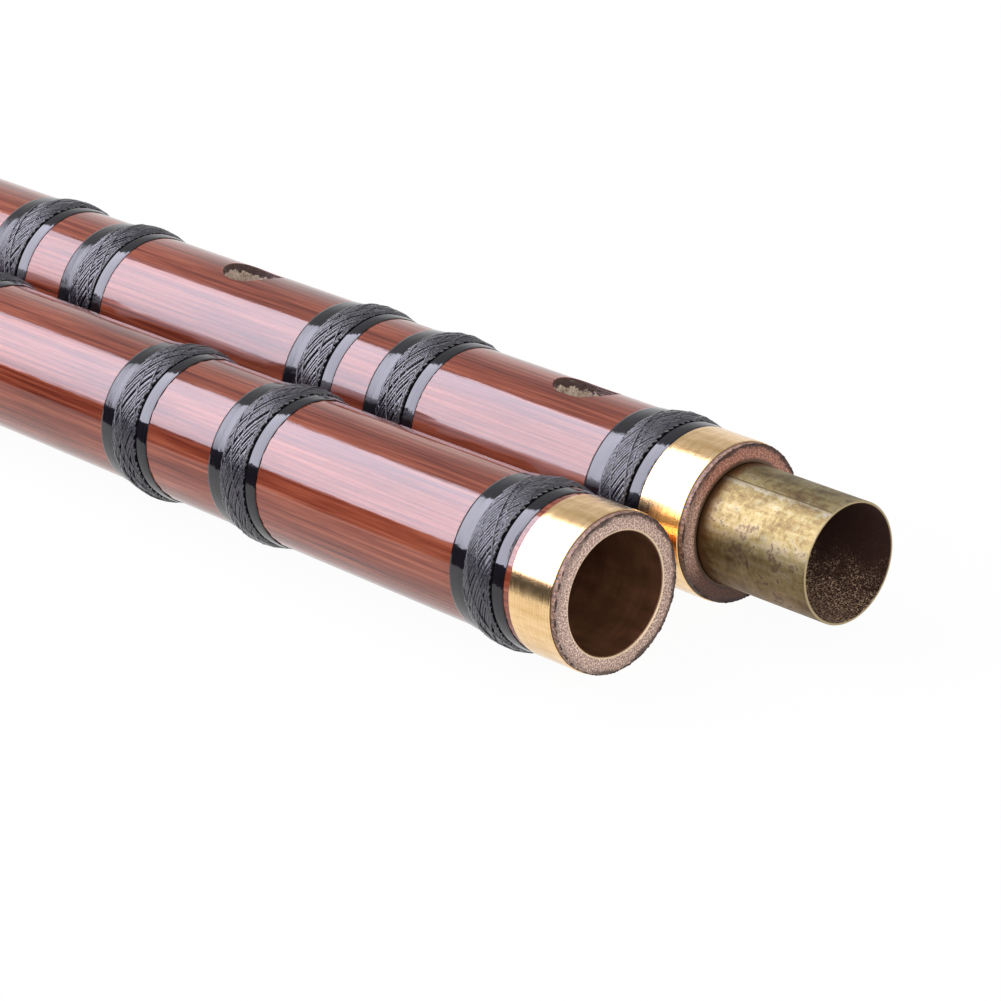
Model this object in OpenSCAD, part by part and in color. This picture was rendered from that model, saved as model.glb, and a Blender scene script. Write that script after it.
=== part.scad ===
// Dizi: a transverse bamboo flute in two sections, taken apart and laid side by side.
// Millimetres, +Z up. The origin is on the table, under the middle of the whole part.
// Both sections lie along X with their joint ends towards +X.
// Every distance named "at" runs back along a section from its own joint face.

/* [Bamboo] */
// Outer diameter of the bamboo at the joint
bamboo_d = 23.8; // [22.6:0.1:25.4]
// Outer diameter of the foot section at its far end
foot_end_d = 21.4; // [20.8:0.1:22.4]
// Diameter of the air column
bore_d = 17; // [15:0.1:17.6]

/* [Head section] */
// Length of the head section
head_len = 236; // [220:1:260]
// How far the head's joint face lies behind the foot's
head_back = 0.5; // [0:0.1:8]
// Turn of the head's holes from straight up, away from the foot section
head_turn = 18; // [0:1:40]
// Middle of the blow hole
blow_at = 111; // [108:0.5:118]
// Length of the blow hole along the tube
blow_len = 10.8; // [10:0.1:12]
// Width of the blow hole across the tube
blow_w = 10; // [8:0.1:10]
// Middle of the membrane hole
membrane_at = 34; // [30:0.5:40]
// Length of the membrane hole along the tube
membrane_len = 10.8; // [9.4:0.1:12]
// Width of the membrane hole across the tube
membrane_w = 9; // [7:0.1:9.4]
// Bore left between the blow hole and the stopper
stopper_gap = 4; // [3.5:0.1:8]
// Length of the cork stopper
stopper_len = 14; // [10:0.5:20]
// Clearance round the cork stopper
stopper_play = 0.05; // [0.02:0.01:0.1]

/* [Foot section] */
// Length of the foot section
foot_len = 305; // [296:1:330]
// Turn of the finger holes from straight up, towards the head section
foot_turn = 90; // [0:5:180]
// Middles of the three finger holes nearest the joint
upper_finger_at = [33, 58, 84]; // [30:0.5:90]
// Middles of the three finger holes farther down
lower_finger_at = [110, 136, 161]; // [106:0.5:166]
// Diameter of the finger holes
finger_d = 9; // [7.5:0.1:9.4]
// Middles of the two end holes that set the lowest note
end_hole_at = [200, 226]; // [196:0.5:232]
// Middles of the two tassel holes on the opposite side
tassel_hole_at = [248, 272]; // [244:0.5:276]
// Diameter of the end holes and tassel holes
end_hole_d = 8; // [6:0.1:9]

/* [Brass joint] */
// Outer diameter of the connecting tube
tenon_d = 18.2; // [18:0.05:18.8]
// Wall of the connecting tube
tenon_wall = 0.4; // [0.3:0.05:0.6]
// Length of the connecting tube that stands out of the head section
tenon_out = 21; // [16:0.5:22]
// Clearance of the connecting tube's free half in the socket
joint_play = 0.05; // [0.02:0.01:0.1]
// How much its held half is turned down, on the radius, to a shoulder
root_step = 0.2; // [0.16:0.01:0.22]
// Clearance of its held half, a closer fit that keeps it in the head section
grip_play = 0.03; // [0.01:0.01:0.05]
// Wall of the brass linings
lining_wall = 0.35; // [0.3:0.05:0.6]
// Depth of the brass linings
lining_len = 22; // [22:0.5:26]
// Bevel inside the mouth of each lining
mouth_bevel = 0.25; // [0.1:0.05:0.3]
// Length of each outer ferrule
ferrule_len = 8.3; // [6:0.1:9]
// Wall of each outer ferrule
ferrule_wall = 0.42; // [0.3:0.02:0.6]
// Height of a ferrule above the bamboo
ferrule_proud = 0.14; // [0.05:0.01:0.25]
// Bamboo left bare beyond each ferrule
lip_len = 1; // [0.5:0.1:2]

/* [Bindings] */
// Width of one binding over its lacquer
binding_w = 11.2; // [9:0.1:11.6]
// Width of the lacquered shoulder nearer the joint, groove included
near_shoulder_w = 2.5; // [2:0.1:2.8]
// Width of the lacquered shoulder farther from the joint
far_shoulder_w = 3.2; // [2.4:0.1:3.4]
// Height of the thread's crown above the bamboo
crown_h = 0.8; // [0.5:0.05:1.2]
// Height of the lacquer where it meets the thread
lacquer_h = 0.3; // [0.2:0.05:0.45]
// Height of the lacquer at its outer edge
lacquer_edge_h = 0.08; // [0.05:0.01:0.18]
// Width of the groove between the near shoulder and the thread
groove_w = 0.4; // [0.2:0.05:0.6]
// Middles of the head's bindings between its two end ones
head_binding_at = [63.6, 82.7, 140.5, 161]; // [56:0.1:180]
// Middles of the foot's bindings between its upper finger holes
foot_binding_at = [70.5, 96.9]; // [68:0.1:100]
// Middle of the foot's binding below the last finger hole
low_binding_at = 181; // [176:0.5:186]
// Bare bamboo between the head's ferrule and first binding
head_binding_gap = 0.1; // [0.05:0.05:2]
// Bare bamboo between the foot's ferrule and first binding
foot_binding_gap = 1.2; // [0.05:0.05:2]

/* [End rings] */
// Length of the bone ring at each far end
ring_len = 6; // [4:0.5:9]
// Wall of the bone rings
ring_wall = 1.3; // [1:0.1:1.4]
// Height of the rings above the bamboo
ring_proud = 0.25; // [0:0.05:0.4]
// Bare bamboo between a ring and the binding beside it
ring_binding_gap = 3; // [1:0.5:6]

/* [Layout] */
// Gap between the two sections where their bindings come closest
side_gap = 0.3; // [0.2:0.05:6]

/* [Hidden] */
$fn = 96;

// Glue film between a piece and the bamboo that carries it
seat = 0.02;
// Softening of thin brass edges
brass_edge = 0.1;
// Steps along a quarter of the thread's crown, and how square its arch is
steps = 4;
crown_power = 2.6;

bamboo_r = bamboo_d / 2;
bore_r = bore_d / 2;
tenon_r = tenon_d / 2;
lining_r = tenon_r + joint_play;
lining_out_r = lining_r + lining_wall;
ferrule_r = bamboo_r + ferrule_proud;
rabbet_r = ferrule_r - ferrule_wall - seat;
ferrule_back = lip_len + ferrule_len;
// The connecting tube stops just short of the shoulder behind the lining
tenon_stop = 0.3;
tenon_in = lining_len - tenon_stop;
// Its shoulder stands this far outside the head's joint face
root_out = 0.3;
root_r = tenon_r - root_step;

// Layout: the widest bindings touch the table and lie side_gap apart
axis_h = bamboo_r + crown_h;
side_y = axis_h + side_gap / 2;
x_high = max(0, tenon_out - head_back);
x_low = -max(foot_len, head_len + head_back);
foot_x = -(x_high + x_low) / 2;
head_x = foot_x - head_back;

// Stations of every binding, back from each joint face
head_stations = concat(
    [ferrule_back + head_binding_gap + binding_w / 2],
    head_binding_at,
    [head_len - ring_len - ring_binding_gap - binding_w / 2]
);
foot_stations = concat(
    [ferrule_back + foot_binding_gap + binding_w / 2],
    foot_binding_at,
    [(lower_finger_at[1] + lower_finger_at[2]) / 2, low_binding_at],
    [(end_hole_at[0] + end_hole_at[1]) / 2],
    [foot_len - ring_len - ring_binding_gap - binding_w / 2]
);

// Outer radius of each section at a distance from its joint face
function head_r(at) = bamboo_r;
function foot_r(at) = bamboo_r + (foot_end_d / 2 - bamboo_r) * at / foot_len;
function wall_r(part, at) = part == "head" ? head_r(at) : foot_r(at);
function length_of(part) = part == "head" ? head_len : foot_len;

// Height of a binding above the bamboo, from its edge nearer the joint (0) to the other
function binding_profile() = let (
    thread_w = binding_w - near_shoulder_w - far_shoulder_w,
    brim = near_shoulder_w - groove_w,
    groove_h = lacquer_h * 0.4,
    feather = 0.35,
    near = [
        [0, lacquer_edge_h],
        [feather, lacquer_edge_h + (lacquer_h - lacquer_edge_h) * 0.4],
        [brim * 0.6, lacquer_h - 0.04],
        [brim - 0.1, lacquer_h],
        [brim, lacquer_h - 0.07],
        [brim + groove_w * 0.25, groove_h],
        [near_shoulder_w - groove_w * 0.25, groove_h]
    ],
    thread = [for (i = [0:4 * steps]) let (u = i / (2 * steps) - 1) [
        near_shoulder_w + thread_w * i / (4 * steps),
        lacquer_h + (crown_h - lacquer_h) * (1 - pow(abs(u), crown_power))
    ]],
    far = [
        [binding_w - far_shoulder_w * 0.6, lacquer_h - 0.04],
        [binding_w - feather, lacquer_edge_h + (lacquer_h - lacquer_edge_h) * 0.4],
        [binding_w, lacquer_edge_h]
    ]
) concat(near, thread, far);

// Puts a section's own frame in place: joint face at X = 0, X along the tube, Z up
module place(part) {
    translate([part == "head" ? head_x : foot_x, part == "head" ? side_y : -side_y, axis_h])
        children();
}

// Turns a profile of [distance from the joint face, radius] points about the tube's axis
module turned(profile) {
    rotate([0, 90, 0])
        rotate_extrude()
            polygon([for (p = profile) [p[1], -p[0]]]);
}

// A drilled hole with round ends, from the axis outwards, turned from straight up
module drilled(at, len, w, turn) {
    translate([-at, 0, 0])
        rotate([-turn, 0, 0])
            linear_extrude(height = bamboo_d) {
                for (side = [-1, 1])
                    translate([side * (len - w) / 2, 0])
                        circle(d = w);
                if (len > w)
                    square([len - w, w], center = true);
            }
}

// Bamboo tube: ferrule rabbet and lining recess at the joint, ring seat at the far end
module bamboo(part) {
    end = length_of(part);
    ring_seat_r = wall_r(part, end) - ring_wall - seat + ring_proud;
    turned([
        [0, lining_out_r + seat],
        [0, bamboo_r - brass_edge],
        [brass_edge, bamboo_r],
        [lip_len - seat, wall_r(part, lip_len)],
        [lip_len - seat, rabbet_r],
        [ferrule_back + seat, rabbet_r],
        [ferrule_back + seat, wall_r(part, ferrule_back)],
        [end - ring_len - seat, wall_r(part, end - ring_len)],
        [end - ring_len - seat, ring_seat_r],
        [end, ring_seat_r],
        [end, bore_r],
        [lining_len + seat, bore_r],
        [lining_len + seat, lining_out_r + seat]
    ]);
}

// Brass sleeve let into the bamboo just behind its lip
module ferrule() {
    color("goldenrod")
        turned([
            [lip_len, ferrule_r - ferrule_wall],
            [lip_len, ferrule_r - brass_edge],
            [lip_len + brass_edge, ferrule_r],
            [ferrule_back - brass_edge, ferrule_r],
            [ferrule_back, ferrule_r - brass_edge],
            [ferrule_back, ferrule_r - ferrule_wall]
        ]);
}

// Brass lining with a bevelled mouth, let into the bore flush with the joint face
module lining(inner_r) {
    color("darkgoldenrod")
        turned([
            [0, inner_r + mouth_bevel],
            [0, lining_out_r],
            [lining_len, lining_out_r],
            [lining_len, inner_r],
            [mouth_bevel, inner_r]
        ]);
}

// Bone ring round the far end, seated on the turned-down bamboo
module end_ring(part) {
    end = length_of(part);
    ring_r = wall_r(part, end) + ring_proud;
    color("ivory")
        turned([
            [end - ring_len, ring_r - ring_wall],
            [end - ring_len, ring_r - ring_proud],
            [end - ring_len + ring_proud, ring_r],
            [end - 0.6, ring_r],
            [end - 0.18, ring_r - 0.18],
            [end, ring_r - 0.6],
            [end, ring_r - ring_wall]
        ]);
}

// One binding: crowned thread between two flat lacquered shoulders
module binding(part, at) {
    start = at - binding_w / 2;
    inner = [for (s = [binding_w, 0]) [start + s, wall_r(part, start + s) + seat]];
    outer = [for (p = binding_profile()) [start + p[0], wall_r(part, start + p[0]) + p[1]]];
    color([0.09, 0.09, 0.1])
        turned(concat(outer, inner));
}

module head_tube() {
    color([0.55, 0.25, 0.12])
        place("head")
            difference() {
                bamboo("head");
                drilled(blow_at, blow_len, blow_w, head_turn);
                drilled(membrane_at, membrane_len, membrane_w, head_turn);
            }
}

module foot_tube() {
    color([0.55, 0.25, 0.12])
        place("foot")
            difference() {
                bamboo("foot");
                for (at = concat(upper_finger_at, lower_finger_at))
                    drilled(at, finger_d, finger_d, foot_turn);
                for (at = end_hole_at)
                    drilled(at, end_hole_d, end_hole_d, foot_turn);
                for (at = tassel_hole_at)
                    drilled(at, end_hole_d, end_hole_d, foot_turn + 180);
            }
}

// Thin brass connecting tube, pushed into the head's lining
module tenon() {
    color([0.62, 0.53, 0.25])
        place("head")
            turned([
                [-tenon_out, tenon_r - tenon_wall + brass_edge],
                [-tenon_out, tenon_r - brass_edge],
                [-tenon_out + brass_edge, tenon_r],
                [-root_out, tenon_r],
                [-root_out, root_r],
                [tenon_in - brass_edge / 2, root_r],
                [tenon_in, root_r - brass_edge / 2],
                [tenon_in, tenon_r - tenon_wall],
                [-tenon_out + brass_edge, tenon_r - tenon_wall]
            ]);
}

// Cork stopper above the blow hole
module stopper() {
    face = blow_at + blow_len / 2 + stopper_gap;
    cork_r = bore_r - stopper_play;
    color([0.72, 0.55, 0.36])
        place("head")
            turned([
                [face, 0],
                [face, cork_r - 0.5],
                [face + 0.5, cork_r],
                [face + stopper_len - 0.5, cork_r],
                [face + stopper_len, cork_r - 0.5],
                [face + stopper_len, 0]
            ]);
}

module head_ferrule() place("head") ferrule();
module foot_ferrule() place("foot") ferrule();
module head_lining() place("head") lining(root_r + grip_play);
module socket_lining() place("foot") lining(lining_r);
module head_end_ring() place("head") end_ring("head");
module foot_end_ring() place("foot") end_ring("foot");
module head_binding(n) place("head") binding("head", head_stations[n - 1]);
module foot_binding(n) place("foot") binding("foot", foot_stations[n - 1]);

head_tube();
head_ferrule();
head_lining();
tenon();
stopper();
head_end_ring();
head_binding(1);  // head_binding_1
head_binding(2);  // head_binding_2
head_binding(3);  // head_binding_3
head_binding(4);  // head_binding_4
head_binding(5);  // head_binding_5
head_binding(6);  // head_binding_6
foot_tube();
foot_ferrule();
socket_lining();
foot_end_ring();
foot_binding(1);  // foot_binding_1
foot_binding(2);  // foot_binding_2
foot_binding(3);  // foot_binding_3
foot_binding(4);  // foot_binding_4
foot_binding(5);  // foot_binding_5
foot_binding(6);  // foot_binding_6
foot_binding(7);  // foot_binding_7
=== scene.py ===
import math
import random

import bpy
from mathutils import Matrix, Vector, noise


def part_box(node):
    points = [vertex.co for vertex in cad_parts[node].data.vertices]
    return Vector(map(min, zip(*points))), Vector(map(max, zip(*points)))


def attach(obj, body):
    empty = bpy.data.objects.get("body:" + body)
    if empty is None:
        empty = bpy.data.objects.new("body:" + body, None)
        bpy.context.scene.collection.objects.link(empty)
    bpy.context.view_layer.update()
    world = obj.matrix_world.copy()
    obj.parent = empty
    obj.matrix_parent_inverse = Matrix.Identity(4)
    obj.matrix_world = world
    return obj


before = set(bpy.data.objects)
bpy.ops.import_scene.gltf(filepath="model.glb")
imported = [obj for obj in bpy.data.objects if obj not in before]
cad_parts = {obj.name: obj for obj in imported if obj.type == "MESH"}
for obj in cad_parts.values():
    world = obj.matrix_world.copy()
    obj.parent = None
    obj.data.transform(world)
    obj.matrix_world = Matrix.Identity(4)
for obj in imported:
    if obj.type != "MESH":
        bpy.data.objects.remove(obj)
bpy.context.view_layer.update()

# A dizi in two sections. Lengths in the materials' maths are in millimetres,
# everything else is in metres.
MM = 0.001
FULL_TURN = 2.0 * math.pi

# The sections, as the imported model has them. A ferrule stands a little proud of the
# bamboo, which goes on past it in a narrow lip up to the joint face.
PARTS = ("head", "foot")
BINDINGS = {
    part: sorted(
        (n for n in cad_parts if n.startswith(part + "_binding_")),
        key=lambda n: int(n.rsplit("_", 1)[1]),
    )
    for part in PARTS
}
FERRULES = {part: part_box(part + "_ferrule") for part in PARTS}
LIP = 1.0 * MM
FERRULE_PROUD = 0.14 * MM
FACE_X = {part: high.x + LIP for part, (low, high) in FERRULES.items()}
AXIS_Y = {part: (low.y + high.y) / 2 for part, (low, high) in FERRULES.items()}
head_low, head_high = FERRULES["head"]
AXIS_Z = (head_low.z + head_high.z) / 2
BAMBOO_R = head_high.z - AXIS_Z - FERRULE_PROUD
# How much the bamboo's radius falls for each unit of length: on the foot it is 1.2 mm
# in 305 mm
TAPER = {"head": 0.0, "foot": 1.2 / 305}

# The bindings' profile, from the joint side: a lacquered shoulder that ends in a
# groove, the crowned thread band, and a wider shoulder
BINDING_W = 11.2 * MM
NEAR_SHOULDER_W = 2.5 * MM
FAR_SHOULDER_W = 3.2 * MM
THREAD_W = BINDING_W - NEAR_SHOULDER_W - FAR_SHOULDER_W
# How much nearer the joint the band's middle lies than the binding's
THREAD_SHIFT = (FAR_SHOULDER_W - NEAR_SHOULDER_W) / 2
GROOVE_W = 0.4 * MM
LACQUER_H = 0.3 * MM
CROWN_H = 0.8 * MM
CROWN_POWER = 2.6

# The bore's radius, and the connecting tube's radius and free length, in mm
BORE_R = 8.5
TUBE_R = 9.1
TUBE_OUT = 21.0


def middle_x(node):
    """Middle of a node along the tubes."""
    low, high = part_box(node)
    return (low.x + high.x) / 2


# Middles of the bindings and of their threads behind the joint face, in mm
STATIONS = {
    part: [(FACE_X[part] - middle_x(n)) / MM for n in BINDINGS[part]]
    for part in PARTS
}
THREADS_AT = {
    part: [station - THREAD_SHIFT / MM for station in STATIONS[part]] for part in PARTS
}


def placed(name, data):
    """A new object in the scene."""
    made = bpy.data.objects.new(name, data)
    bpy.context.scene.collection.objects.link(made)
    return made


# Node trees

CELL_RANDOMNESS = 0.85


class Value:
    """A socket in a tree's maths: arithmetic on it adds Math nodes."""

    def __init__(self, tree, socket):
        self.tree = tree
        self.socket = socket

    def __getitem__(self, output):
        return Value(self.tree, self.socket.node.outputs[output])

    def math(self, operation, *others):
        terms = dict(enumerate((self,) + others))
        return self.tree.add("ShaderNodeMath", {"operation": operation}, terms)

    def __add__(self, other):
        return self.math("ADD", other)

    def __sub__(self, other):
        return self.math("SUBTRACT", other)

    def __mul__(self, other):
        return self.math("MULTIPLY", other)

    def __truediv__(self, other):
        return self.math("DIVIDE", other)

    def __pow__(self, other):
        return self.math("POWER", other)

    def __neg__(self):
        return self.math("MULTIPLY", -1.0)

    def __abs__(self):
        return self.math("ABSOLUTE")

    def __rsub__(self, other):
        terms = {0: other, 1: self}
        return self.tree.add("ShaderNodeMath", {"operation": "SUBTRACT"}, terms)

    __radd__ = __add__
    __rmul__ = __mul__


class Tree:
    """A node tree whose nodes all come from one method."""

    def __init__(self, node_tree):
        self.tree = node_tree
        self.tree.nodes.clear()

    def add(self, kind, settings=None, values=None, out=0):
        """Adds a node: its settings first, then its sockets' values or links."""
        node = self.tree.nodes.new(kind)
        for name, setting in (settings or {}).items():
            if name == "stops":
                self._fill_ramp(node.color_ramp, setting)
            else:
                setattr(node, name, setting)
        for name, value in (values or {}).items():
            socket = node.inputs[name]
            if isinstance(value, Value):
                self.tree.links.new(value.socket, socket)
            elif socket.type == "RGBA" and len(value) == 3:
                socket.default_value = (*value, 1.0)
            else:
                socket.default_value = value
        return Value(self, node.outputs[out]) if node.outputs else node

    @staticmethod
    def _fill_ramp(ramp, stops):
        while len(ramp.elements) < len(stops):
            ramp.elements.new(1.0)
        for element, (place, colour) in zip(ramp.elements, stops):
            element.position = place
            element.color = (*colour, 1.0)

    def vector(self, x, y, z):
        return self.add("ShaderNodeCombineXYZ", None, {0: x, 1: y, 2: z})

    def axes(self, vector):
        """The X, Y and Z of a vector."""
        x = self.add("ShaderNodeSeparateXYZ", None, {0: vector})
        return x, x["Y"], x["Z"]

    def vectors(self, operation, *terms):
        """An operation on one or two vectors, or on a vector and a scale."""
        sockets = (0, "Scale") if operation == "SCALE" else (0, 1)
        return self.add(
            "ShaderNodeVectorMath", {"operation": operation}, dict(zip(sockets, terms))
        )

    def rise(self, value, low, high):
        """0 below low, 1 above high, smooth between."""
        return self.add(
            "ShaderNodeMapRange",
            {"interpolation_type": "SMOOTHSTEP"},
            {"Value": value, "From Min": low, "From Max": high},
        )

    def fall(self, value, low, high):
        """1 below low, 0 above high, smooth between."""
        return 1.0 - self.rise(value, low, high)

    def drawn(self, low, high, seed):
        """A random number for each element."""
        return self.add(
            "FunctionNodeRandomValue",
            {"data_type": "FLOAT"},
            {2: low, 3: high, "Seed": seed},
            out=1,
        )

    def background(self):
        """Where plain white shows, to the eye and in the gloss, and where the gloss
        alone shows it."""
        ray = self.add("ShaderNodeLightPath", out="Is Camera Ray")
        gloss = ray["Is Glossy Ray"]
        seen = ray.math("MAXIMUM", gloss).math("MAXIMUM", ray["Is Transmission Ray"])
        return seen, gloss


class Finish(Tree):
    """A procedural material."""

    def __init__(self, name):
        self.material = bpy.data.materials.new(name)
        self.material.use_nodes = True
        super().__init__(self.material.node_tree)

    def place_in_mm(self, origin=None):
        """The surface point in mm, from an origin in metres if there is one."""
        place = self.add("ShaderNodeTexCoord", out="Object")
        if origin:
            place = self.vectors("SUBTRACT", place, origin)
        return self.vectors("SCALE", place, 1.0 / MM)

    def mix(self, mask, under, over):
        return self.add(
            "ShaderNodeMix", {"data_type": "RGBA"}, {0: mask, 6: under, 7: over}, out=2
        )

    def shade(self, colour, amount):
        """A colour made darker or lighter by a number, or tinted by another colour."""
        if isinstance(amount, Value):
            amount = self.vector(amount, amount, amount)
        return self.vectors("MULTIPLY", colour, amount)

    def ramp(self, value, stops):
        return self.add("ShaderNodeValToRGB", {"stops": stops}, {0: value})

    def noise(self, at, scale=1.0, detail=2.0, roughness=0.5, distortion=0.0):
        return self.add(
            "ShaderNodeTexNoise",
            None,
            {
                "Vector": at,
                "Scale": scale,
                "Detail": detail,
                "Roughness": roughness,
                "Distortion": distortion,
            },
        )

    def cells(self, at, scale=1.0, feature="F1", flat=False):
        """Distance from the middles or edges of cells, in space or on the X Y plane."""
        return self.add(
            "ShaderNodeTexVoronoi",
            {"feature": feature, "voronoi_dimensions": "2D" if flat else "3D"},
            {"Vector": at, "Scale": scale, "Randomness": CELL_RANDOMNESS},
        )

    def bump(self, height, depth, normal=None):
        """Relief from a height of 0 to 1, at a depth in metres."""
        values = {"Strength": 1.0, "Distance": depth, "Height": height}
        if normal is not None:
            values["Normal"] = normal
        return self.add("ShaderNodeBump", None, values)

    def principled(self, **sockets):
        values = {name.replace("_", " "): v for name, v in sockets.items()}
        return self.add("ShaderNodeBsdfPrincipled", None, values)

    def blend(self, share, under, over):
        """One shader over another."""
        return self.add("ShaderNodeMixShader", None, {0: share, 1: under, 2: over})

    def ends_in(self, shader):
        self.add("ShaderNodeOutputMaterial", None, {"Surface": shader})
        return self.material

    def done(self, **sockets):
        """Ends in one Principled shader and returns the material."""
        return self.ends_in(self.principled(**sockets))


class Spot:
    """Where a surface point lies on a section, in mm and as a direction."""

    def __init__(self, finish, part):
        self.finish = finish
        self.mm = finish.place_in_mm((FACE_X[part], AXIS_Y[part], AXIS_Z))
        x, y, z = finish.axes(self.mm)
        self.back = -x
        self.radius = (y * y + z * z) ** 0.5
        self.side = y / self.radius
        self.up = z / self.radius
        self.y, self.z = y, z
        self.skin_r = BAMBOO_R / MM - self.back * TAPER[part]

    def stretched(self, length, width, shift=0.0):
        """A place for patterns that are long one way and narrow round the tube."""
        turns = BAMBOO_R / MM / width
        along = self.back / length + shift
        return self.finish.vector(along, self.side * turns, self.up * turns)

    def from_nearest(self, stations):
        """Distance along the tube to the nearest of some stations."""
        nearest = abs(self.back - stations[0])
        for station in stations[1:]:
            nearest = nearest.math("MINIMUM", abs(self.back - station))
        return nearest


# Finishes. Where a mask rises or falls along a length, its limits are in mm.

BLACK_LACQUER = (0.012, 0.0115, 0.0135)
DARK_FIBRE = (0.045, 0.021, 0.016)


def stained_skin(finish, spot, part):
    """The bamboo's outside: its colour and the fibres in it."""
    # Lengthwise grain: broad bands, fibres and hair lines in the stain
    broad = finish.noise(spot.stretched(70.0, 3.2), detail=2.0)
    fibre = finish.noise(spot.stretched(26.0, 0.55, 7.0), detail=3.0, roughness=0.6)
    hair = finish.noise(spot.stretched(9.0, 0.17, 19.0), detail=2.0)
    stain = finish.ramp(
        broad * 0.35 + fibre * 0.65,
        [
            (0.34, (0.074, 0.013, 0.008)),
            (0.46, (0.160, 0.032, 0.016)),
            (0.54, (0.228, 0.054, 0.027)),
            (0.66, (0.330, 0.098, 0.052)),
        ],
    )
    hair_line = finish.rise(hair, 0.60, 0.72) * 0.35
    stain = finish.mix(hair_line, stain, (0.050, 0.010, 0.006))
    cloud = finish.noise(spot.stretched(38.0, 9.0, 3.0), detail=1.0)
    stain = finish.shade(stain, 0.72 + cloud * 0.56)

    # Black lacquer that has run past the bindings' edges
    wobble = finish.noise(spot.mm, scale=0.75, detail=3.0, roughness=0.65)
    edge = spot.from_nearest(STATIONS[part]) - BINDING_W / MM / 2
    lacquer = finish.fall(edge - (wobble - 0.50) * 0.60, -0.02, 0.05)
    return finish.mix(lacquer, stain, BLACK_LACQUER), fibre


def bare_wood(finish, spot):
    """The walls of the holes: where they are, their colour and their fibres."""
    # The mesh dips a little below the true skin, so a wall also has to face another
    # way than out
    depth = spot.skin_r - spot.radius
    facing = finish.add("ShaderNodeTexCoord", out="Normal")
    _, facing_y, facing_z = finish.axes(facing)
    outward = facing_y * spot.side + facing_z * spot.up
    in_wall = finish.rise(depth, 0.07, 0.13) * finish.fall(outward, 0.70, 0.90)
    grit = finish.noise(spot.mm, scale=2.6, detail=4.0, roughness=0.7)
    fibres = finish.noise(spot.stretched(5.0, 0.22, 31.0), detail=3.0, roughness=0.7)
    clot = finish.noise(spot.mm, scale=0.85, detail=3.0, roughness=0.6)
    bare = finish.ramp(
        fibres * 0.25 + grit * 0.45 + clot * 0.30,
        [
            (0.38, (0.120, 0.066, 0.045)),
            (0.45, (0.480, 0.350, 0.260)),
            (0.60, (0.800, 0.660, 0.550)),
        ],
    )
    # Dark where the lacquer soaked in
    soaked = finish.fall(depth + (clot - 0.5) * 3.2 + (grit - 0.5) * 0.9, 1.00, 1.40)
    wall = finish.mix(soaked * 0.95, bare, (0.045, 0.016, 0.014))
    return in_wall, wall, fibres


def end_grain(finish, spot, part):
    """The joint face's colour and the lip's, and the speckle and grit on both."""
    # Dark bundles, smaller and denser towards the skin, and a ragged rim
    section = finish.vector(spot.y, spot.z, 0.0)
    bundles = finish.cells(section, scale=2.9, flat=True)
    fine_bundles = finish.cells(section, scale=4.2, flat=True)
    outwards = finish.rise(spot.radius, 9.8, 11.4)
    dots = finish.fall(bundles, 0.12, 0.56)
    fine_dots = finish.fall(fine_bundles, 0.16, 0.60)
    speckle = dots * (1.0 - outwards * 0.4) + fine_dots * outwards * 0.8
    speckle = speckle.math("MINIMUM", 1.0)
    grit = finish.noise(spot.mm, scale=2.8, detail=3.0, roughness=0.7)
    pale = finish.rise(grit, 0.34, 0.66)
    face = finish.mix(pale, (0.42, 0.285, 0.225), (0.84, 0.63, 0.51))
    face = finish.mix(speckle * 0.85, face, (0.160, 0.088, 0.072))
    rag = finish.noise(spot.mm, scale=1.7, detail=4.0, roughness=0.75)
    drift = finish.noise(spot.mm, scale=0.22, detail=2.0)
    ragged = spot.radius + (rag - 0.5) * 1.7 + (drift - 0.5) * 1.6
    rim = finish.rise(ragged, 11.02, 11.48)
    rim = rim * (0.30 + finish.rise(spot.side, -0.80, -0.20) * 0.60)
    face = finish.mix(rim, face, DARK_FIBRE)

    pale = finish.rise(rag, 0.38, 0.62)
    lip = finish.mix(pale, (0.110, 0.045, 0.026), (0.42, 0.24, 0.145))
    lip = finish.shade(lip, 1.0 - speckle * 0.35)
    at_brass = finish.rise(spot.back + (rag - 0.5) * 0.5, 0.60, 0.88)
    lip = finish.mix(at_brass * 0.8, lip, DARK_FIBRE)
    if part == "head":
        # This end is redder above and nearly black towards the bottom; next to the brass
        # it has a ring of painted shade
        red = finish.rise(spot.up + spot.side * 0.35 + (rag - 0.5) * 0.5, 0.20, 0.75)
        black = finish.rise((rag - 0.5) * 0.3 - spot.up, -0.05, 0.60)
        # Painted shade: a dark ring round the brass, where the tube leaves the face
        inner = finish.fall(spot.radius + (rag - 0.5) * 0.9, 9.45, 10.05)
        face = finish.shade(face, (0.86, 0.76, 0.70))
        face = finish.mix(red, face, finish.shade(face, (0.92, 0.66, 0.60)))
        face = finish.mix(black, face, finish.shade(face, (0.27, 0.17, 0.14)))
        face = finish.mix(inner * 0.75, face, (0.060, 0.030, 0.020))
        lip = finish.mix(black, lip, (0.050, 0.028, 0.020))
    return face, lip, speckle, grit


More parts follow.
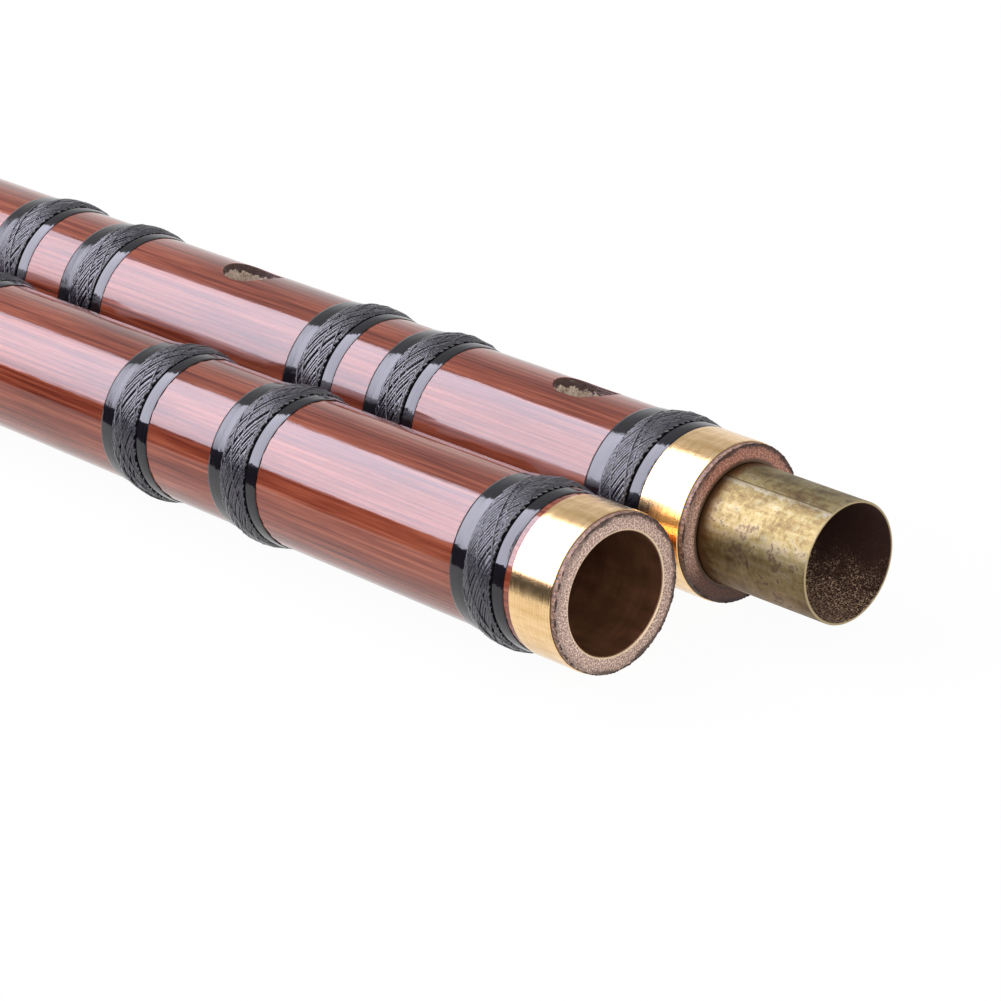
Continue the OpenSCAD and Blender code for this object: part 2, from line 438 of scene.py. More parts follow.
def bamboo_finish(part):
    """Stained bamboo under clear gloss lacquer, with bare end grain, bore and holes."""
    finish = Finish(part + "_bamboo")
    spot = Spot(finish, part)
    skin, fibre = stained_skin(finish, spot, part)
    in_wall, wall, wall_fibres = bare_wood(finish, spot)
    colour = finish.mix(in_wall, skin, wall)
    bore = finish.fall(spot.radius, BORE_R + 0.04, BORE_R + 0.16)
    inside = finish.mix(wall_fibres, (0.060, 0.026, 0.012), (0.160, 0.082, 0.040))
    colour = finish.mix(bore, colour, inside)
    face_colour, lip_colour, speckle, grit = end_grain(finish, spot, part)
    face = finish.fall(spot.back, 0.05, 0.09)
    colour = finish.mix(face, colour, face_colour)
    lip = finish.fall(spot.back, LIP / MM - 0.10, LIP / MM - 0.02)
    colour = finish.mix(lip * (1.0 - face), colour, lip_colour)

    # Gloss on the skin, dull bare wood
    raw = in_wall.math("MAXIMUM", lip)
    smear = finish.noise(spot.stretched(14.0, 2.4, 11.0), detail=3.0)
    roughness = 0.045 + smear * 0.075 + raw * 0.50

    # Relief: the fibres show through the lacquer, bare wood is rough
    ripple = finish.noise(spot.stretched(16.0, 0.65, 23.0), detail=2.0)
    swell = finish.noise(spot.mm, scale=0.22, detail=1.0)
    clear = finish.bump(ripple * 0.35 + fibre * 0.25 + swell * 0.6, 0.030 * MM)
    scratch = raw * (wall_fibres * 0.5 + speckle * 0.4 + grit * 0.6)
    relief = finish.bump(scratch, 0.10 * MM, normal=clear)
    return finish.done(
        Base_Color=colour, Roughness=roughness, Normal=relief, IOR=1.5
    )


def binding_finish(part):
    """Gloss black lacquer on the shoulders, dull under the thread and in the groove."""
    finish = Finish(part + "_binding_lacquer")
    spot = Spot(finish, part)
    # The dull part lies under the thread and in the groove on its near side
    off_middle = spot.from_nearest([at - GROOVE_W / MM / 2 for at in THREADS_AT[part]])
    half = (THREAD_W + GROOVE_W) / MM / 2
    core_and_groove_shade = finish.fall(off_middle, half - 0.04, half + 0.04)
    lumps = finish.noise(spot.mm, scale=0.55, detail=2.0)
    strokes = finish.noise(spot.stretched(0.7, 3.5, 5.0), detail=3.0)
    tone = finish.mix(lumps, (0.004, 0.0035, 0.005), (0.011, 0.009, 0.012))
    roughness = 0.06 + strokes * 0.05
    # The coats are a little uneven where the brush turned
    fine_lumps = finish.noise(spot.mm, scale=1.6, detail=3.0)
    height = lumps * 0.65 + strokes * 0.25 + fine_lumps * 0.18
    relief = finish.bump(height, 0.055 * MM)
    gloss = finish.principled(
        Base_Color=tone, Roughness=roughness, Normal=relief, IOR=1.5
    )
    # Painted shade: in the groove this matt black without gloss stands for the deep gap's
    # shadow
    dull = finish.add("ShaderNodeBsdfDiffuse", None, {"Color": (0.006, 0.0055, 0.007)})
    return finish.ends_in(finish.blend(core_and_groove_shade, gloss, dull))


def thread_finish():
    """Black waxed thread."""
    finish = Finish("waxed_thread")
    mm = finish.place_in_mm()
    twist = finish.noise(mm, scale=3.2, detail=3.0, roughness=0.65)
    wear = finish.noise(mm, scale=0.8, detail=2.0)
    colour = finish.mix(twist, (0.004, 0.0035, 0.006), (0.040, 0.036, 0.050))
    worn = finish.rise(wear, 0.5, 0.8) * 0.4
    colour = finish.mix(worn, colour, (0.100, 0.092, 0.118))
    roughness = 0.07 + twist * 0.14
    relief = finish.bump(twist, 0.07 * MM)
    return finish.done(
        Base_Color=colour, Roughness=roughness, Normal=relief, IOR=1.75
    )


def brushed_normal(finish, spot, amount, line, reach=9.0, shift=0.0):
    """The surface's normal, tilted along the tube by fine lines round it."""
    lines = finish.noise(spot.stretched(line, reach, shift), detail=1.0)
    slope = (lines - 0.5) * amount
    normal = finish.add("ShaderNodeNewGeometry", out="Normal")
    tilted = finish.vectors("ADD", normal, finish.vector(slope, 0.0, 0.0))
    return finish.vectors("NORMALIZE", tilted)


def ferrule_finish(part):
    """Satin brass, brushed round the tube."""
    finish = Finish(part + "_ferrule_brass")
    spot = Spot(finish, part)
    lines = finish.noise(spot.stretched(0.30, 12.0, 3.0), detail=4.0, roughness=0.75)
    wipes = finish.noise(spot.stretched(9.0, 1.1, 21.0), detail=3.0, roughness=0.6)
    cloud = finish.noise(spot.mm, scale=0.25, detail=2.0)
    specks = finish.cells(spot.mm, scale=1.1)
    bright = finish.rise(lines * 0.5 + wipes * 0.5, 0.34, 0.66)
    colour = finish.mix(bright, (0.74, 0.465, 0.195), (0.98, 0.69, 0.37))
    colour = finish.shade(colour, 0.92 + cloud * 0.16)
    pit = finish.fall(specks, 0.07, 0.13)
    colour = finish.mix(pit * 0.6, colour, (0.26, 0.14, 0.06))
    roughness = 0.12 + lines * 0.08 + cloud * 0.04
    normal = brushed_normal(finish, spot, 1.1, line=0.014)
    return finish.done(
        Base_Color=colour, Roughness=roughness, Metallic=1.0, Normal=normal
    )


def lining_finish(part):
    """Browned brass with turned rings; the socket's mouth is bright, the head's painted
    shade.
    """
    finish = Finish(part + "_lining_brass")
    spot = Spot(finish, part)
    rings = finish.noise(spot.stretched(0.6, 30.0), detail=4.0, roughness=0.7)
    cloud = finish.noise(spot.mm, scale=0.30, detail=3.0)
    runs = finish.noise(spot.stretched(8.0, 1.6, 9.0), detail=3.0)
    brown = finish.mix(cloud, (0.080, 0.030, 0.015), (0.260, 0.115, 0.058))
    brown = finish.shade(brown, 0.25 + rings * 0.7 + runs * 0.7)
    # The socket's mouth is worn bright; the head's, where the tube comes out, is painted
    # dark brown as shade
    mouth = finish.fall(spot.back, 0.09, 0.16)
    worn = (0.80, 0.62, 0.42) if part == "foot" else (0.110, 0.062, 0.034)
    colour = finish.mix(mouth, brown, worn)
    roughness = 0.36 + mouth * 0.14 + (rings - 0.5) * 0.2
    relief = finish.bump(rings * 0.6 + cloud * 0.4, 0.03 * MM)
    return finish.done(
        Base_Color=colour, Roughness=roughness, Metallic=0.35, Normal=relief
    )


def tube_finish():
    """Tarnished brass: blotches, lengthwise scuffs, a rough dark inside, a bright rim."""
    finish = Finish("tarnished_brass")
    spot = Spot(finish, "head")
    patches = finish.noise(
        spot.mm, scale=0.16, detail=5.0, roughness=0.62, distortion=0.6
    )
    blots = finish.noise(spot.mm, scale=0.75, detail=5.0, roughness=0.72)
    scuffs = finish.noise(spot.stretched(9.0, 1.1, 2.0), detail=4.0, roughness=0.6)
    rubs = finish.noise(spot.stretched(0.30, 7.0, 13.0), detail=4.0, roughness=0.65)
    out = -spot.back
    film = finish.ramp(
        patches * 0.45 + blots * 0.35 + scuffs * 0.20,
        [
            (0.38, (0.085, 0.055, 0.030)),
            (0.45, (0.150, 0.108, 0.046)),
            (0.51, (0.225, 0.180, 0.080)),
            (0.57, (0.300, 0.250, 0.155)),
            (0.63, (0.390, 0.310, 0.120)),
        ],
    )
    bloom = finish.rise(blots + (scuffs - 0.5) * 0.3, 0.55, 0.64)
    film = finish.mix(bloom * 0.6, film, (0.165, 0.160, 0.110))
    stains = finish.rise(patches * 0.5 + blots * 0.5, 0.54, 0.59)
    film = finish.mix(stains * 0.7, film, (0.085, 0.045, 0.021))
    film = finish.shade(film, 0.75 + rubs * 0.50)
    # Painted shade: browner and darker underneath, and dark where it leaves the bamboo
    painted_shade_below = finish.rise((blots - 0.5) * 0.5 - spot.up, -0.35, 0.45)
    film = finish.mix(painted_shade_below * 0.75, film, finish.shade(film, (0.88, 0.64, 0.55)))
    # Painted shade, and a painted reflection of the dark end grain next to it
    painted_shade_at_bamboo = finish.fall(out + (blots - 0.5) * 1.4, 0.3, 2.9)
    film = finish.mix(painted_shade_at_bamboo * 0.85, film, (0.150, 0.074, 0.032))
    # A long pale scuff with a dark scratch beside it
    off_scuff = spot.side + 0.30 + (blots - 0.5) * 0.20 + (patches - 0.5) * 0.16
    scuff = finish.fall(abs(off_scuff), 0.012, 0.050) * finish.rise(spot.up, 0.3, 0.5)
    broken = finish.rise(patches + (blots - 0.5) * 0.5, 0.38, 0.56)
    scuff = scuff * (0.25 + broken * 0.75)
    film = finish.mix(scuff * 0.75, film, (0.270, 0.250, 0.195))
    off_scratch = spot.side + 0.243 + (patches - 0.5) * 0.02
    scratch = finish.fall(abs(off_scratch), 0.006, 0.014)
    scratch = scratch * finish.rise(spot.up, 0.3, 0.5)
    film = finish.mix(scratch * 0.7, film, (0.045, 0.030, 0.018))

    # Inside: a rough brown crust with a few bright grains, which crowd low down as
    # painted highlights
    inner = finish.fall(spot.radius, TUBE_R - 0.36, TUBE_R - 0.30)
    grains = finish.noise(spot.mm, scale=3.8, detail=3.0, roughness=0.8)
    clumps = finish.noise(spot.mm, scale=0.5, detail=2.0)
    low = finish.rise(-spot.up + (clumps - 0.5) * 0.9, 0.25, 1.0)
    crust = finish.mix(grains, (0.018, 0.005, 0.003), (0.085, 0.030, 0.016))
    grain_and_painted_highlight = finish.rise(grains + low * 0.08, 0.60, 0.67)
    crust = finish.mix(grain_and_painted_highlight * (0.10 + low * 0.88), crust, (0.85, 0.62, 0.43))
    colour = finish.mix(inner, film, crust)

    # The end, worn bright
    rim = finish.rise(out, TUBE_OUT - 0.16, TUBE_OUT - 0.06) * (1.0 - inner)
    colour = finish.mix(rim, colour, (0.42, 0.33, 0.19))

    roughness = 0.42 + blots * 0.14 + scuffs * 0.08 + inner * 0.2
    metallic = 1.0 - inner * (1.0 - grain_and_painted_highlight * 0.5) * 0.75
    normal = brushed_normal(finish, spot, 0.50, line=0.05, reach=5.0, shift=40.0)
    dents = finish.bump(
        blots * 0.35 + patches * 0.6 + inner * grains * 4.0, 0.05 * MM, normal=normal
    )
    return finish.done(
        Base_Color=colour, Roughness=roughness, Metallic=metallic, Normal=dents
    )


def bone_finish(part):
    """Polished bone with fine pores along its grain."""
    finish = Finish(part + "_bone")
    spot = Spot(finish, part)
    grain = finish.noise(spot.stretched(9.0, 0.5), detail=4.0, roughness=0.6)
    cloud = finish.noise(spot.mm, scale=0.35, detail=3.0)
    pores = finish.cells(spot.stretched(0.9, 0.28, 4.0))
    colour = finish.mix(cloud, (0.70, 0.62, 0.47), (0.83, 0.78, 0.66))
    streak = finish.rise(grain, 0.52, 0.75) * 0.5
    colour = finish.mix(streak, colour, (0.60, 0.48, 0.31))
    pore = finish.fall(pores, 0.08, 0.16)
    colour = finish.mix(pore * 0.55, colour, (0.38, 0.27, 0.16))
    roughness = 0.20 + cloud * 0.14 + pore * 0.3
    relief = finish.bump(grain * 0.5 - pore * 0.8, 0.03 * MM)
    return finish.done(
        Base_Color=colour, Roughness=roughness, Normal=relief, IOR=1.54
    )


def cork_finish():
    """Cork: pale cells, darker seams between them and a few deep lenticels."""
    finish = Finish("cork")
    spot = Spot(finish, "head")
    cells = finish.cells(spot.mm, scale=0.85, feature="DISTANCE_TO_EDGE")
    grit = finish.noise(spot.mm, scale=2.2, detail=4.0, roughness=0.7)
    holes = finish.noise(spot.mm, scale=0.6, detail=2.0, distortion=1.2)
    colour = finish.mix(grit, (0.36, 0.21, 0.10), (0.62, 0.42, 0.24))
    seam = finish.fall(cells, 0.03, 0.12)
    colour = finish.mix(seam * 0.5, colour, (0.22, 0.11, 0.05))
    pit = finish.rise(holes, 0.62, 0.68)
    colour = finish.mix(pit * 0.85, colour, (0.09, 0.045, 0.022))
    relief = finish.bump(grit * 0.5 - seam * 0.3 - pit, 0.20 * MM)
    return finish.done(Base_Color=colour, Roughness=0.75 + grit * 0.2, Normal=relief)


def rag_finish():
    """Torn, soaked bamboo fibre on the lips' outer edges."""
    finish = Finish("torn_fibre")
    grit = finish.noise(finish.place_in_mm(), scale=3.0, detail=4.0, roughness=0.7)
    colour = finish.ramp(
        grit,
        [
            (0.38, (0.018, 0.009, 0.007)),
            (0.58, (0.042, 0.020, 0.015)),
            (0.70, (0.180, 0.100, 0.068)),
        ],
    )
    relief = finish.bump(grit, 0.12 * MM)
    return finish.done(Base_Color=colour, Roughness=0.55 + grit * 0.35, Normal=relief)


# Threads

STRAND_SIDES = 6
# How far from its even place a strand may lie, in shares of the gap to the next
STRAND_DRIFT = 0.35
# How far a strand wanders up and down in all, how many waves it has in each mm, and
# how many mm further on each next seed reads the waves
WAVINESS = 0.26 * MM
WAVE_SCALE = 0.85
WAVE_SHIFT = 7.3

# The layers of a band, from the inside out. The main strands lean one way, thinner
# ones cross under them and a few over them, and some turns run round its edges. Sunk
# is how far a layer lies below the level of the lacquer.
LAYERS = (
    {"From": 0.01, "To": 0.98, "Slant": 0.62, "Steps": 9, "Count": 46,
     "Thickness": 0.27 * MM, "Sunk": 0.13 * MM, "Unevenness": 0.05 * MM, "Seed": 71},
    {"From": 0.01, "To": 0.97, "Slant": -1.10, "Steps": 18, "Count": 66,
     "Thickness": 0.50 * MM, "Sunk": 0.11 * MM, "Unevenness": 0.06 * MM, "Seed": 5},
    {"From": 0.02, "To": 0.95, "Slant": 1.30, "Steps": 13, "Count": 11,
     "Thickness": 0.28 * MM, "Sunk": -0.10 * MM, "Unevenness": 0.06 * MM, "Seed": 58},
    {"From": 0.01, "To": 0.11, "Slant": 11.6, "Steps": 110, "Count": 1,
     "Thickness": 0.36 * MM, "Sunk": 0.00 * MM, "Unevenness": 0.02 * MM, "Seed": 23},
    {"From": 0.88, "To": 0.97, "Slant": -8.9, "Steps": 90, "Count": 1,
     "Thickness": 0.36 * MM, "Sunk": 0.06 * MM, "Unevenness": 0.02 * MM, "Seed": 37},
)


def winding_tree():
    """Strands over a crowned band, round and round a tube that lies along X.

    A strand runs from one share of the band's width to another, 0 being the
    edge nearer the joint, and turns through the slant on its way.
    """
    group = bpy.data.node_groups.new("thread_winding", "GeometryNodeTree")
    kinds = {
        "Width": "NodeSocketFloat",
        "Near radius": "NodeSocketFloat",
        "Far radius": "NodeSocketFloat",
        "Crown": "NodeSocketFloat",
        "From": "NodeSocketFloat",
        "To": "NodeSocketFloat",
        "Slant": "NodeSocketFloat",
        "Steps": "NodeSocketInt",
        "Count": "NodeSocketInt",
        "Thickness": "NodeSocketFloat",
        "Unevenness": "NodeSocketFloat",
        "Waviness": "NodeSocketFloat",
        "Seed": "NodeSocketInt",
        "Finish": "NodeSocketMaterial",
    }
    sockets = {}
    for name, kind in kinds.items():
        socket = group.interface.new_socket(name, in_out="INPUT", socket_type=kind)
        sockets[name] = socket.identifier
    group.interface.new_socket(
        "Geometry", in_out="OUTPUT", socket_type="NodeSocketGeometry"
    )
    tree = Tree(group)
    given = tree.add("NodeGroupInput")
    along = tree.add("GeometryNodeSplineParameter", out="Factor")

    # One strand: it crosses the band at a slant and rises over its crown
    line = tree.add("GeometryNodeCurvePrimitiveLine", None, {"End": (1.0, 0.0, 0.0)})
    line = tree.add(
        "GeometryNodeResampleCurve", None, {"Curve": line, "Count": given["Steps"]}
    )
    share = given["From"] + along * (given["To"] - given["From"])
    base = given["Near radius"] + share * (given["Far radius"] - given["Near radius"])
    crown = (1.0 - abs(share * 2.0 - 1.0) ** CROWN_POWER) * given["Crown"]
    radius = base + crown
    turn = (along - 0.5) * given["Slant"]
    place = tree.vector(
        (0.5 - share) * given["Width"],
        turn.math("SINE") * radius,
        turn.math("COSINE") * radius,
    )
    line = tree.add(
        "GeometryNodeSetPosition", None, {"Geometry": line, "Position": place}
    )
    section = tree.add(
        "GeometryNodeCurvePrimitiveCircle",
        None,
        {"Resolution": STRAND_SIDES, "Radius": given["Thickness"] * 0.5},
    )
    strand = tree.add(
        "GeometryNodeCurveToMesh",
        None,
        {"Curve": line, "Profile Curve": section, "Fill Caps": True},
    )

    # All strands of the band, each a little high or low and off its place
    points = tree.add("GeometryNodePoints", None, {"Count": given["Count"]})
    index = tree.add("GeometryNodeInputIndex")
    drift = tree.drawn(-STRAND_DRIFT, STRAND_DRIFT, given["Seed"])
    angle = (index + drift) / given["Count"] * FULL_TURN
    rotation = tree.add(
        "FunctionNodeEulerToRotation", None, {0: tree.vector(angle, 0.0, 0.0)}
    )
    uneven = given["Unevenness"]
    lift = tree.drawn(-uneven, uneven, given["Seed"] + 1.0)
    scale = lift / given["Near radius"] + 1.0
    strands = tree.add(
        "GeometryNodeInstanceOnPoints",
        None,
        {
            "Points": points,
            "Instance": strand,
            "Rotation": rotation,
            "Scale": tree.vector(1.0, scale, scale),
        },
    )
    real = tree.add("GeometryNodeRealizeInstances", None, {0: strands})

    # Each strand wanders up and down on its way
    place = tree.add("GeometryNodeInputPosition")
    in_mm = tree.vectors("SCALE", place, 1.0 / MM)
    shift = tree.vector(given["Seed"] * WAVE_SHIFT, 0.0, 0.0)
    wave = tree.add(
        "ShaderNodeTexNoise",
        None,
        {
            "Vector": tree.vectors("ADD", in_mm, shift),
            "Scale": WAVE_SCALE,
            "Detail": 1.0,
        },
    )
    wave = (wave - 0.5) * given["Waviness"] / given["Near radius"] + 1.0
    waved = tree.vectors("MULTIPLY", place, tree.vector(1.0, wave, wave))
    real = tree.add(
        "GeometryNodeSetPosition", None, {"Geometry": real, "Position": waved}
    )
    smooth = tree.add("GeometryNodeSetShadeSmooth", None, {0: real})
    dressed = tree.add(
        "GeometryNodeSetMaterial", None, {0: smooth, "Material": given["Finish"]}
    )
    tree.add("NodeGroupOutput", None, {"Geometry": dressed})
    return group, sockets


def grown_mesh(group, values):
    """The plain mesh that a Geometry Nodes tree makes from its inputs' values."""
    holder = placed("holder", bpy.data.meshes.new("holder"))
    modifier = holder.modifiers.new("grow", "NODES")
    modifier.node_group = group
    for identifier, value in values.items():
        modifier[identifier] = value
    graph = bpy.context.evaluated_depsgraph_get()
    mesh = bpy.data.meshes.new_from_object(holder.evaluated_get(graph))
    bpy.data.objects.remove(holder)
    return mesh


def joined_piece(name, meshes, body):
    """One piece from several meshes, riding on a body."""
    holders = [placed(name, mesh) for mesh in meshes]
    bpy.ops.object.select_all(action="DESELECT")
    for holder in holders:
        holder.select_set(True)
    piece = holders[0]
    bpy.context.view_layer.objects.active = piece
    bpy.ops.object.join()
    piece.name = name
    piece.data.name = name
    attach(piece, body)


def wind_threads(part, finish):
    """The thread on every binding of one section."""
    group, sockets = winding_tree()
    meshes = []
    for order, node in enumerate(BINDINGS[part]):
        middle = middle_x(node) + THREAD_SHIFT
        back = FACE_X[part] - middle
        for layer in LAYERS:
            near, far = (
                BAMBOO_R - TAPER[part] * (back + side * THREAD_W / 2)
                + LACQUER_H - layer["Sunk"]
                for side in (-1, 1)
            )
            values = dict(layer)
            del values["Sunk"]
            values["Seed"] += order
            values.update(
                {
                    "Width": THREAD_W,
                    "Near radius": near,
                    "Far radius": far,
                    "Crown": CROWN_H - LACQUER_H,
                    "Waviness": WAVINESS,
                    "Finish": finish,
                }
            )
            mesh = grown_mesh(group, {sockets[name]: v for name, v in values.items()})
            mesh.transform(Matrix.Translation((middle, AXIS_Y[part], AXIS_Z)))
            meshes.append(mesh)
    joined_piece(part + "_threads", meshes, part)


# Ragged lips: a ring of fibre round the outer edge of each joint face, which swells
# and wanders with two noises, a coarse and a fine one

RAG_STEPS = 620
RAG_SIDES = 7
# Its middle's place under the skin and behind the face, its mean and least thickness,
# and how far the noises swell it and move its middle, all in mm
RAG_INSET = 0.13
RAG_BEHIND = 0.10
RAG_THICK = 0.10
RAG_LEAST = 0.02
RAG_COARSE = 0.12
RAG_FINE = 0.08
RAG_WANDER = 0.06
# How much wider the ring is along the tube than across
RAG_WIDER = 1.15
# The circle on which the noises are read, and their scales
NOISE_CIRCLE = 9.0
COARSE_SCALE = 1.1
FINE_SCALE = 4.3
FINE_SHIFT = Vector((3.1, 0.0, 0.0))

# The splinters on the ring: how many are tried, their lengths and depths under the
# skin in mm, how far they lean round the tube, along it and outwards, how far behind
# the face they start, and half their width
SPLINTERS = 520
SPLINTER_LENGTHS = (0.12, 0.42)
SPLINTER_INSETS = (0.05, 0.30)
SPLINTER_LEAN = 0.8
SPLINTER_FORWARD = 0.7
SPLINTER_OUTWARD = 0.5
SPLINTER_BEHIND = 0.04 * MM
SPLINTER_HALF_W = 0.045 * MM
# They grow in tufts, where a noise of this scale is above this level. It is read this
# far along for each metre of a face's place.
TUFT_SCALE = 2.6
TUFT_SHIFT = 90.0
TUFT_LEVEL = -0.05
SPLINTER_FACES = ((0, 1, 2), (0, 3, 1), (1, 3, 2), (2, 3, 0))


def add_splinter(draw, part, verts, faces):
    """One thin closed splinter at the outer edge of a joint face."""
    turn = draw.uniform(0.0, FULL_TURN)
    out = Vector((0.0, math.sin(turn), math.cos(turn)))
    round_tube = Vector((0.0, math.cos(turn), -math.sin(turn)))
    length = draw.uniform(*SPLINTER_LENGTHS) * MM
    lean = draw.uniform(-SPLINTER_LEAN, SPLINTER_LEAN)
    forward = draw.uniform(0.0, SPLINTER_FORWARD)
    tuft = noise.noise(out * TUFT_SCALE + Vector((FACE_X[part] * TUFT_SHIFT, 0.0, 0.0)))
    if tuft < TUFT_LEVEL:
        return
    centre = Vector((FACE_X[part] - SPLINTER_BEHIND, AXIS_Y[part], AXIS_Z))
    base = centre + out * (BAMBOO_R - draw.uniform(*SPLINTER_INSETS) * MM)
    way = Vector((forward, 0.0, 0.0)) + out * SPLINTER_OUTWARD + round_tube * lean
    aside = round_tube * SPLINTER_HALF_W
    behind = Vector((2 * SPLINTER_HALF_W, 0.0, 0.0))
    first = len(verts)
    corners = (base + aside, base - aside, base - behind, base + way * length)
    verts.extend(tuple(corner) for corner in corners)
    faces.extend(tuple(first + i for i in face) for face in SPLINTER_FACES)


def ragged_lip(part, finish, seed):
    """Torn fibre round the outer edge of a joint face."""
    verts, faces = [], []
    for i in range(RAG_STEPS):
        turn = FULL_TURN * i / RAG_STEPS
        out = Vector((0.0, math.sin(turn), math.cos(turn)))
        at = out * NOISE_CIRCLE + Vector((seed, 0.0, 0.0))
        coarse = noise.noise(at * COARSE_SCALE)
        fine = noise.noise(at * FINE_SCALE + FINE_SHIFT)
        thick = RAG_THICK + RAG_COARSE * coarse + RAG_FINE * fine
        thick = max(RAG_LEAST, thick) * MM
        centre_r = BAMBOO_R - RAG_INSET * MM + RAG_WANDER * fine * MM
        centre_x = FACE_X[part] - RAG_BEHIND * MM + RAG_WANDER * MM * coarse
        for j in range(RAG_SIDES):
            bend = FULL_TURN * j / RAG_SIDES
            radius = centre_r + thick * math.cos(bend)
            x = centre_x + thick * math.sin(bend) * RAG_WIDER
            verts.append((x, AXIS_Y[part] + out.y * radius, AXIS_Z + out.z * radius))
    for i in range(RAG_STEPS):
        here, after = i * RAG_SIDES, (i + 1) % RAG_STEPS * RAG_SIDES
        for j in range(RAG_SIDES):
            side = (j + 1) % RAG_SIDES
            faces.append((here + j, here + side, after + side, after + j))
    draw = random.Random(int(seed))
    for _ in range(SPLINTERS):
        add_splinter(draw, part, verts, faces)
    mesh = bpy.data.meshes.new(part + "_lip_fibre")
    mesh.from_pydata(verts, [], faces)
    mesh.materials.append(finish)
    mesh.polygons.foreach_set("use_smooth", [True] * len(faces))
    piece = placed(part + "_lip_fibre", mesh)
    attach(piece, part)


# The pieces


def dress(node, material):
    """Gives a CAD node its finish."""
    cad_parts[node].data.materials[0] = material


for part in PARTS:
    dress(part + "_tube", bamboo_finish(part))
    dress(part + "_ferrule", ferrule_finish(part))
    dress(part + "_end_ring", bone_finish(part))
    lacquer = binding_finish(part)
    for node in BINDINGS[part]:
        dress(node, lacquer)
dress("head_lining", lining_finish("head"))
dress("socket_lining", lining_finish("foot"))
dress("tenon", tube_finish())
dress("stopper", cork_finish())

thread = thread_finish()
fibre = rag_finish()
for part, seed in (("head", 4.0), ("foot", 9.0)):
    wind_threads(part, thread)
    ragged_lip(part, fibre, seed)


# Stage, light and camera

FLOOR_Z = -0.3 * MM
FLOOR_HALF = 6.0
FLOOR_COLOUR = (0.74, 0.74, 0.74)
# How much of the floor's look is plain white. The rest is lit, and shadowed.
FLOOR_WHITE = 0.965
WHITE = (1.0, 1.0, 1.0)

# A low dark card in front, which only shows as the dark line in the gloss
FLAG_LEFT, FLAG_RIGHT = -0.40, 0.34
FLAG_Y = -0.043
FLAG_LOW, FLAG_HIGH = 0.0130, 0.0255
FLAG_COLOUR = (0.004, 0.004, 0.004)

# A large softbox above the front of the tubes, long side along them
KEY_SIZE = (1.5, 1.51)
KEY_X = -0.85
KEY_TILT = math.radians(29.7)
KEY_DISTANCE = 0.9
KEY_PLACE = (
    KEY_X,
    -KEY_DISTANCE * math.sin(KEY_TILT),
    KEY_DISTANCE * math.cos(KEY_TILT),
)
KEY_COLOUR = (0.85, 0.84, 1.0)
# The box's brightness in the gloss, at its near and its far end, and as a lamp,
# where 1 is white
KEY_GLOSS = 10.0
KEY_GLOSS_FAR = 4.1
KEY_LIGHT = 4.1
# Between these places along the tubes its gloss rises
KEY_FADE = (-1.65, -0.85)

# A weaker one beyond the joint ends, which lights the end grain
FILL_SIZE = (1.0, 1.0)
FILL_PLACE = (1.05, -0.25, 0.55)
FILL_TILT = math.radians(62.0)
FILL_COLOUR = (1.0, 0.98, 0.96)
FILL_LIGHT = 2.45

# The room lights softly. It is white to the eye and in the gloss, where it dims
# towards the ceiling.
ROOM_COLOUR = (0.97, 0.98, 1.0)
ROOM_LIGHT = 0.48
ROOM_SEEN = 0.50
CEILING_DIMS = 0.44
# The heights of a direction between which it dims, 1 being straight up
CEILING = (0.10, 0.55)

# The photograph's view
CAMERA_PLACE = (0.523585, -0.351762, 0.282598)
RIGHT = Vector((0.67919488, 0.72596422, -0.10802905))
UP = Vector((-0.26062996, 0.3761511, 0.88914699))
FORWARD = Vector((-0.68612414, 0.57574848, -0.44468793))
SENSOR_WIDTH = 36.0
LENS = 148.4
CLIP_START = 0.01


def floor_white():
    """Plain floor: white to the eye and in the gloss, with the object's shadow."""
    finish = Finish("floor_white")
    seen, _ = finish.background()
    matt = finish.add("ShaderNodeBsdfDiffuse", None, {"Color": FLOOR_COLOUR})
    glow = finish.add("ShaderNodeEmission", None, {"Color": WHITE, "Strength": 1.0})
    return finish.ends_in(finish.blend(seen * FLOOR_WHITE, matt, glow))


def flag_black():
    """Dull black for the card in front."""
    return Finish("flag_black").done(Base_Color=FLAG_COLOUR, Roughness=0.9)


def softbox_cloth():
    """The box's front as the gloss shows it, dimmer towards its far end."""
    finish = Finish("softbox_cloth")
    x, _, _ = finish.axes(finish.add("ShaderNodeTexCoord", out="Object"))
    near = finish.rise(x, *KEY_FADE)
    strength = KEY_GLOSS_FAR + near * (KEY_GLOSS - KEY_GLOSS_FAR)
    glow = {"Color": KEY_COLOUR, "Strength": strength}
    return finish.ends_in(finish.add("ShaderNodeEmission", None, glow))


def card(name, corners, material):
    """A flat board on the stage."""
    mesh = bpy.data.meshes.new(name)
    mesh.from_pydata(corners, [], [(0, 1, 2, 3)])
    mesh.materials.append(material)
    board = placed(name, mesh)
    return board


def only_in_gloss(board):
    """Hides a board from all but reflections."""
    board.visible_camera = False
    board.visible_diffuse = False
    board.visible_shadow = False
    board.visible_transmission = False


def area_lamp(name, size, brightness, colour, place, turn):
    """A lamp that lights as a board of this brightness would, where 1 is white."""
    light = bpy.data.lights.new(name, "AREA")
    light.shape = "RECTANGLE"
    light.size, light.size_y = size
    light.energy = brightness * math.pi * size[0] * size[1]
    light.color = colour
    lamp = placed(name, light)
    lamp.location = place
    lamp.rotation_euler = turn
    return lamp


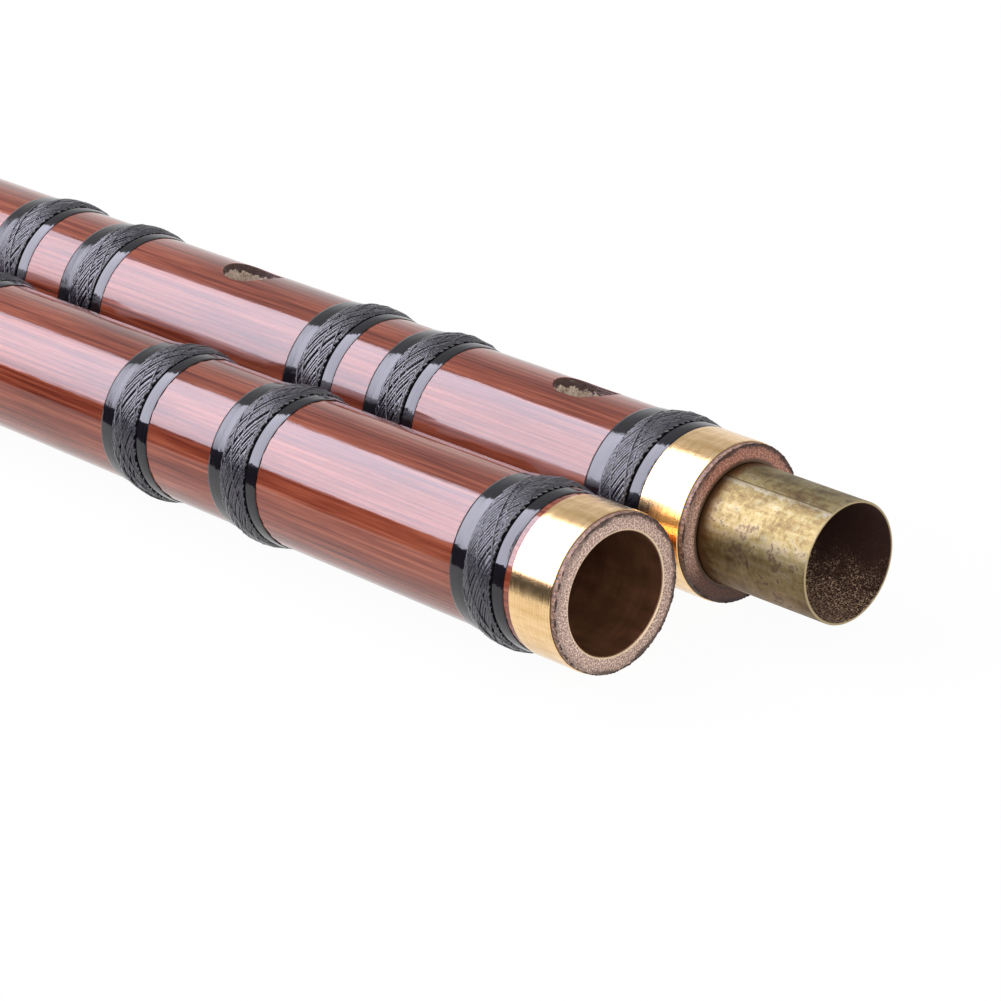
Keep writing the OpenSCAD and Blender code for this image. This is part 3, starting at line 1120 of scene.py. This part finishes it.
card(
    "floor",
    [
        (-FLOOR_HALF, -FLOOR_HALF, FLOOR_Z),
        (FLOOR_HALF, -FLOOR_HALF, FLOOR_Z),
        (FLOOR_HALF, FLOOR_HALF, FLOOR_Z),
        (-FLOOR_HALF, FLOOR_HALF, FLOOR_Z),
    ],
    floor_white(),
)
flag = card(
    "flag",
    [
        (FLAG_LEFT, FLAG_Y, FLAG_LOW),
        (FLAG_RIGHT, FLAG_Y, FLAG_LOW),
        (FLAG_RIGHT, FLAG_Y, FLAG_HIGH),
        (FLAG_LEFT, FLAG_Y, FLAG_HIGH),
    ],
    flag_black(),
)
only_in_gloss(flag)

key_turn = (KEY_TILT, 0.0, 0.0)
key = area_lamp("softbox_light", KEY_SIZE, KEY_LIGHT, KEY_COLOUR, KEY_PLACE, key_turn)
key.visible_glossy = False
middle = Vector(KEY_PLACE)
along = Vector((KEY_SIZE[0] / 2, 0.0, 0.0))
across = Vector((0.0, math.cos(KEY_TILT), math.sin(KEY_TILT))) * (KEY_SIZE[1] / 2)
cloth = card(
    "softbox",
    [
        middle - along - across,
        middle + along - across,
        middle + along + across,
        middle - along + across,
    ],
    softbox_cloth(),
)
only_in_gloss(cloth)
area_lamp("fill", FILL_SIZE, FILL_LIGHT, FILL_COLOUR, FILL_PLACE, (0.0, FILL_TILT, 0.0))

world = bpy.data.worlds.new("studio")
world.use_nodes = True
room = Tree(world.node_tree)
seen, gloss = room.background()
_, _, height = room.axes(room.add("ShaderNodeTexCoord", out="Generated"))
ceiling = room.rise(height, *CEILING)
glow = ROOM_LIGHT + seen * ROOM_SEEN - gloss * ceiling * CEILING_DIMS
air = room.add("ShaderNodeBackground", None, {"Color": ROOM_COLOUR, "Strength": glow})
room.add("ShaderNodeOutputWorld", None, {"Surface": air})
bpy.context.scene.world = world

camera_data = bpy.data.cameras.new("camera")
camera_data.sensor_width = SENSOR_WIDTH
camera_data.lens = LENS
camera_data.clip_start = CLIP_START
camera = placed("camera", camera_data)
turned = Matrix((RIGHT, UP, -FORWARD)).transposed().to_4x4()
camera.matrix_world = Matrix.Translation(CAMERA_PLACE) @ turned
bpy.context.scene.camera = camera
bpy.context.scene.view_settings.view_transform = "Standard"
